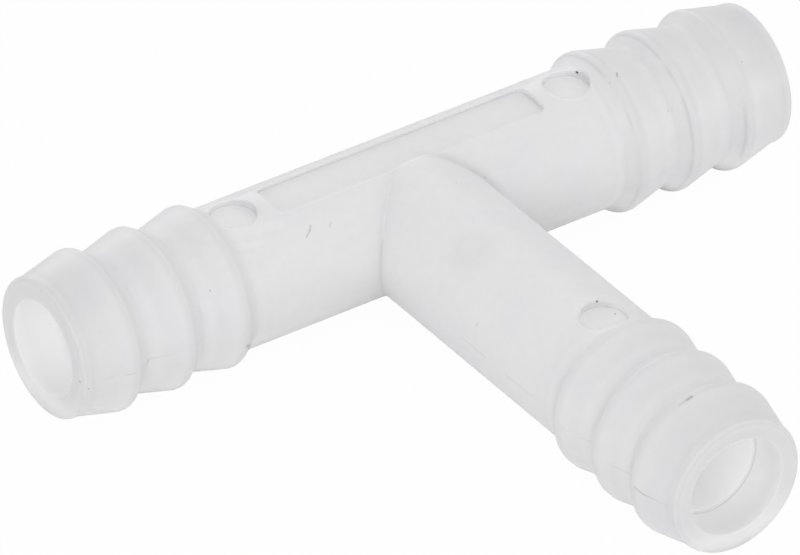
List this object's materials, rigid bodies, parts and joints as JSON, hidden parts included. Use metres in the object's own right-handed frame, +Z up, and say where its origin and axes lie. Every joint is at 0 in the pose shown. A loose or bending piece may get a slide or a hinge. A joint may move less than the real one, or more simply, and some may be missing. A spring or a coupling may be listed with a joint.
{
  "type": "hose tee",
  "caption": "Moulded hose tee with a straight run and a side branch, each end a barbed spigot that pushes into a hose, joined by open round passages.",
  "frame": {"origin": "where the axes of the run and of the branch meet, inside the passages", "axes": "X along the run, -Y along the branch towards its mouth, +Z up, square to the parting plane and on the side of the label field"},
  "size_m": [0.0912, 0.0708, 0.0182],
  "materials": {
    "natural_plastic": "natural milky plastic, slightly translucent, satin from the mould"
  },
  "bodies": {
    "root": {"hose_tee": "natural_plastic"}
  },
  "joints": []
}
